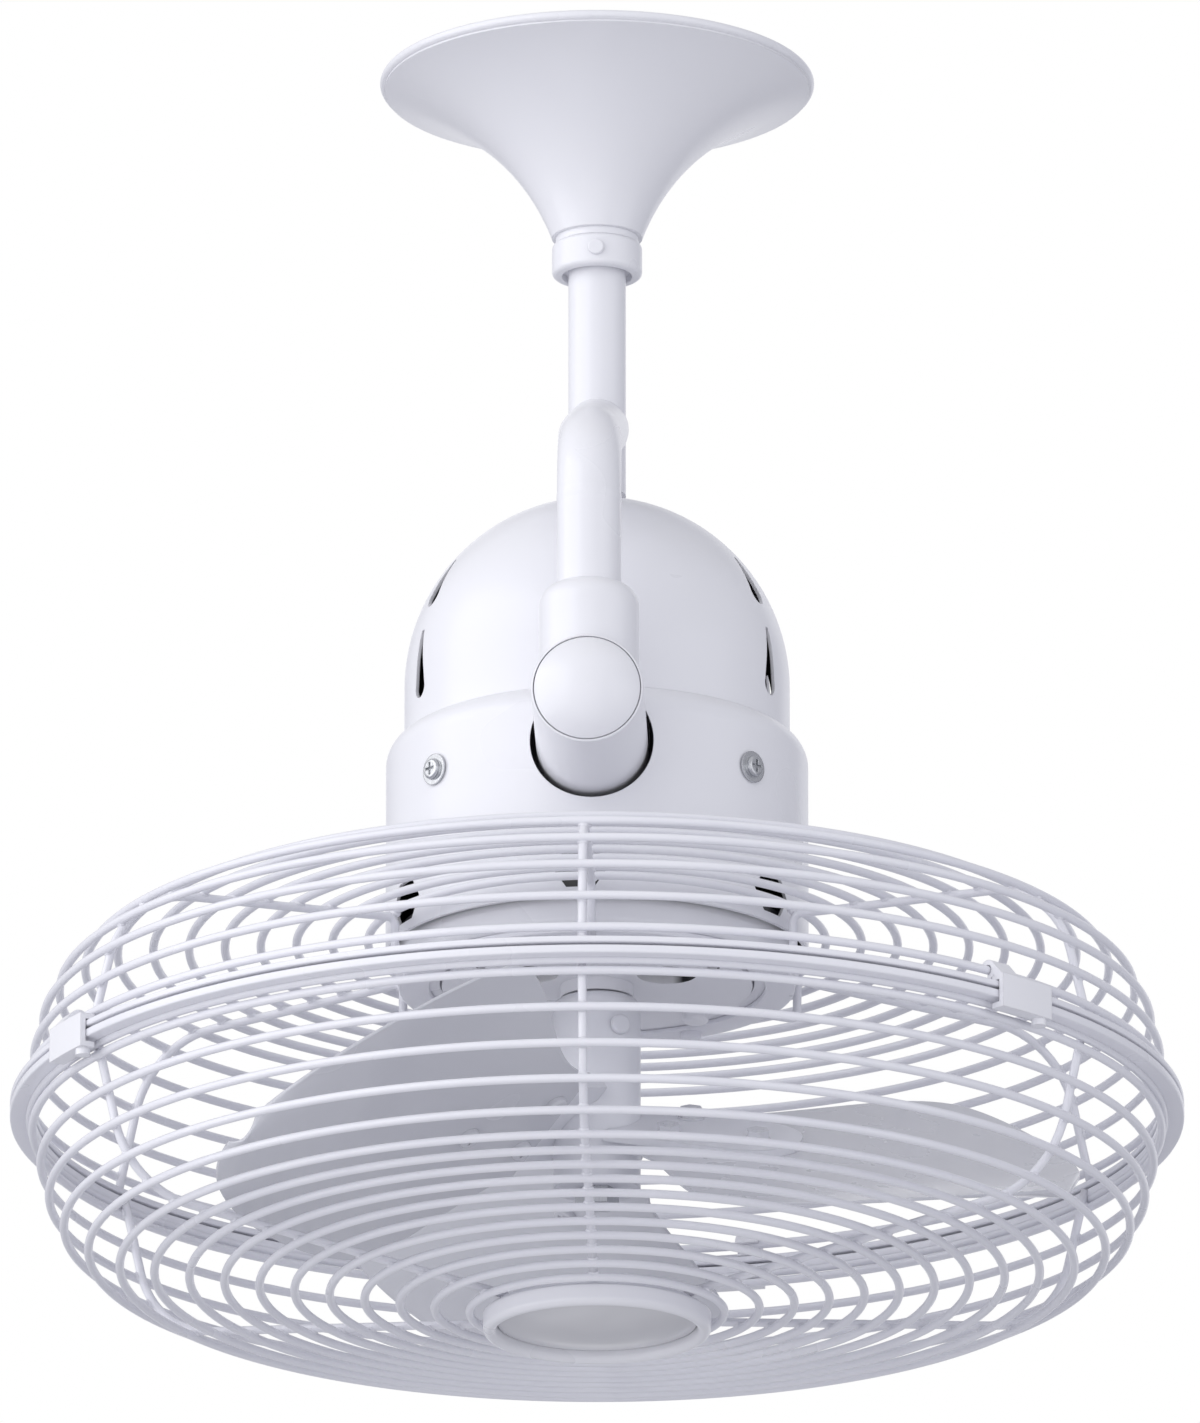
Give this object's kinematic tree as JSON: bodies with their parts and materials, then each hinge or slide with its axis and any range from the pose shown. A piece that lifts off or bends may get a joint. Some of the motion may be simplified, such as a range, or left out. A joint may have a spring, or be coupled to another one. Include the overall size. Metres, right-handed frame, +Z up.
{
  "type": "oscillating ceiling fan",
  "caption": "Small ceiling-hung fan: trumpet canopy and downrod, bent arm with a swing barrel, domed motor housing and a caged three-bladed head that swings from side to side.",
  "frame": {"origin": "centre of the fixing plate's top face, on the ceiling plane", "axes": "+Z up towards the ceiling, -Y towards the front where the bent arm and the barrel stand, +X to the viewer's right"},
  "size_m": [0.404, 0.404, 0.4562],
  "materials": {
    "ceiling_bracket": "zinc-plated steel",
    "hanger_pin": "zinc-plated steel",
    "pin_ring": "zinc-plated steel",
    "rod_set_screw": "blackened steel",
    "downrod": "glossy white enamel",
    "offset_arm": "glossy white enamel",
    "knuckle": "glossy white enamel",
    "sleeve_screws": "blackened steel",
    "knuckle_cap": "glossy white enamel",
    "pivot_shaft": "zinc-plated steel",
    "shaft_nut": "zinc-plated steel",
    "swing_lever": "zinc-plated steel",
    "lever_pin": "zinc-plated steel",
    "canopy": "glossy white enamel",
    "canopy_collar": "glossy white enamel",
    "collar_screw": "glossy white enamel",
    "rear_dome": "glossy white enamel",
    "front_band": "glossy white enamel",
    "housing_screws": "glossy white enamel",
    "housing_pan": "glossy white enamel",
    "motor_bracket": "zinc-plated steel",
    "pivot_block": "cast aluminium",
    "pivot_bushes": "sintered bronze",
    "block_screws": "zinc-plated steel",
    "stator": "laminated electrical steel",
    "windings": "varnished copper wire",
    "rear_bearing": "bearing steel",
    "front_bearing": "bearing steel",
    "motor_shield": "glossy white enamel",
    "motor_bolts": "glossy white enamel",
    "motor_nuts": "zinc-plated steel",
    "gearmotor_plate": "zinc-plated steel",
    "gearmotor": "black moulded housing",
    "gearmotor_screws": "zinc-plated steel",
    "capacitor": "black moulded case",
    "terminal_block": "natural nylon",
    "rear_guard": "glossy white enamel",
    "guard_screws": "glossy white enamel",
    "front_guard": "glossy white enamel",
    "badge_ring": "glossy white enamel",
    "badge": "silver-grey lacquer",
    "badge_screws": "zinc-plated steel",
    "crank": "zinc-plated steel",
    "motor_shaft": "zinc-plated steel",
    "rotor": "die-cast squirrel cage",
    "blade_hub": "glossy white enamel",
    "hub_screw": "glossy white enamel",
    "blade_1": "glossy white enamel",
    "blade_2": "glossy white enamel",
    "blade_3": "glossy white enamel",
    "blade_screws": "glossy white enamel",
    "blade_nuts": "glossy white enamel",
    "hub_nut": "zinc-plated steel",
    "clip_1": "glossy white enamel",
    "clip_2": "glossy white enamel",
    "clip_3": "glossy white enamel"
  },
  "bodies": {
    "mounting": {"ceiling_bracket": "ceiling_bracket", "hanger_pin": "hanger_pin", "pin_ring": "pin_ring", "rod_set_screw": "rod_set_screw", "downrod": "downrod", "offset_arm": "offset_arm", "knuckle": "knuckle", "sleeve_screws": "sleeve_screws", "knuckle_cap": "knuckle_cap", "pivot_shaft": "pivot_shaft", "shaft_nut": "shaft_nut", "swing_lever": "swing_lever", "lever_pin": "lever_pin"},
    "canopy_group": {"canopy": "canopy", "canopy_collar": "canopy_collar", "collar_screw": "collar_screw"},
    "head": {"rear_dome": "rear_dome", "front_band": "front_band", "housing_screws": "housing_screws", "housing_pan": "housing_pan", "motor_bracket": "motor_bracket", "pivot_block": "pivot_block", "pivot_bushes": "pivot_bushes", "block_screws": "block_screws", "stator": "stator", "windings": "windings", "rear_bearing": "rear_bearing", "front_bearing": "front_bearing", "motor_shield": "motor_shield", "motor_bolts": "motor_bolts", "motor_nuts": "motor_nuts", "gearmotor_plate": "gearmotor_plate", "gearmotor": "gearmotor", "gearmotor_screws": "gearmotor_screws", "capacitor": "capacitor", "terminal_block": "terminal_block", "rear_guard": "rear_guard", "guard_screws": "guard_screws", "front_guard": "front_guard", "badge_ring": "badge_ring", "badge": "badge", "badge_screws": "badge_screws"},
    "crank_group": {"crank": "crank"},
    "blade_group": {"motor_shaft": "motor_shaft", "rotor": "rotor", "blade_hub": "blade_hub", "hub_screw": "hub_screw", "blade_1": "blade_1", "blade_2": "blade_2", "blade_3": "blade_3", "blade_screws": "blade_screws", "blade_nuts": "blade_nuts", "hub_nut": "hub_nut"},
    "guard_clip_1": {"clip_1": "clip_1"},
    "guard_clip_2": {"clip_2": "clip_2"},
    "guard_clip_3": {"clip_3": "clip_3"}
  },
  "joints": [
    {"name": "canopy_slide", "type": "slide", "parent": "mounting", "child": "canopy_group", "axis": [0, 0, -1], "range_m": [0, 0.04]},
    {"name": "head_swing", "type": "hinge", "parent": "mounting", "child": "head", "pos_m": [0, 0, -0.2635], "axis": [0, 1, 0], "range_deg": [-45, 45]},
    {"name": "crank_turn", "type": "hinge", "parent": "head", "child": "crank_group", "pos_m": [0, 0, -0.2435], "axis": [0, 1, 0], "range_deg": [-135, 135]},
    {"name": "fan_spin", "type": "hinge", "parent": "head", "child": "blade_group", "pos_m": [0, 0, -0.376], "axis": [0, 0, 1], "continuous": true},
    {"name": "clip_1_hinge", "type": "hinge", "parent": "head", "child": "guard_clip_1", "pos_m": [0.13848, -0.13967, -0.36872], "axis": [-0.7101, -0.7041, 0], "range_deg": [0, 70]},
    {"name": "clip_2_hinge", "type": "hinge", "parent": "head", "child": "guard_clip_2", "pos_m": [-0.17563, -0.08855, -0.36872], "axis": [-0.4502, 0.8929, 0], "range_deg": [0, 70]},
    {"name": "clip_3_hinge", "type": "hinge", "parent": "head", "child": "guard_clip_3", "pos_m": [0.04839, 0.19064, -0.36872], "axis": [0.9693, -0.246, 0], "range_deg": [0, 70]}
  ],
  "couplings": [
    {"joint": "crank_turn", "follows": "head_swing", "ratio": -3}
  ]
}
